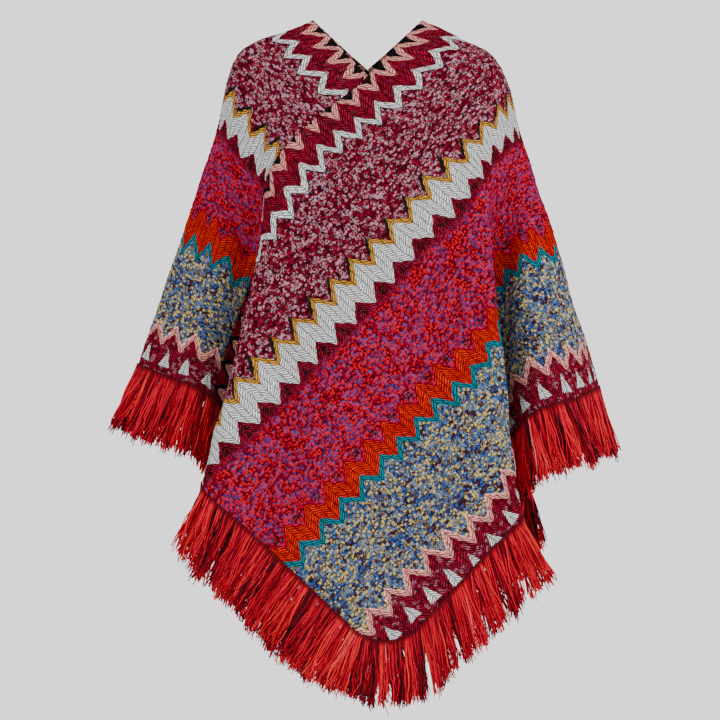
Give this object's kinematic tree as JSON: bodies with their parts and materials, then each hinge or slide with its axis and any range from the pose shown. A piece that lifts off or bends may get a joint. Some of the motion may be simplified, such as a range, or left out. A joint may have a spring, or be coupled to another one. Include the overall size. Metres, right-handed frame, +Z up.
{
  "type": "fringed knitted poncho",
  "caption": "Zigzag-striped knitted poncho with a V neck, draped hollow over shoulders and arms, with points front and back and a fringe on every hem.",
  "frame": {"origin": "middle of the neck opening, at the height of the inner ends of the shoulders, where the wearer's shoulders hold the cloth", "axes": "+Z up, +X towards the wearer's left arm, and the wearer faces -Y"},
  "size_m": [0.746, 0.2975, 0.9966],
  "materials": {
    "panel_knit": "chunky wool-like knit, matt, in zigzag stripes and flecked bands",
    "fringe_yarn": "loose knitting yarn, matt, in reds"
  },
  "bodies": {
    "root": {"front_wrap_panel": "panel_knit", "back_wrap_panel": "panel_knit", "front_long_fringe": "fringe_yarn", "front_end_fringe": "fringe_yarn", "back_long_fringe": "fringe_yarn", "back_end_fringe": "fringe_yarn"}
  },
  "joints": []
}
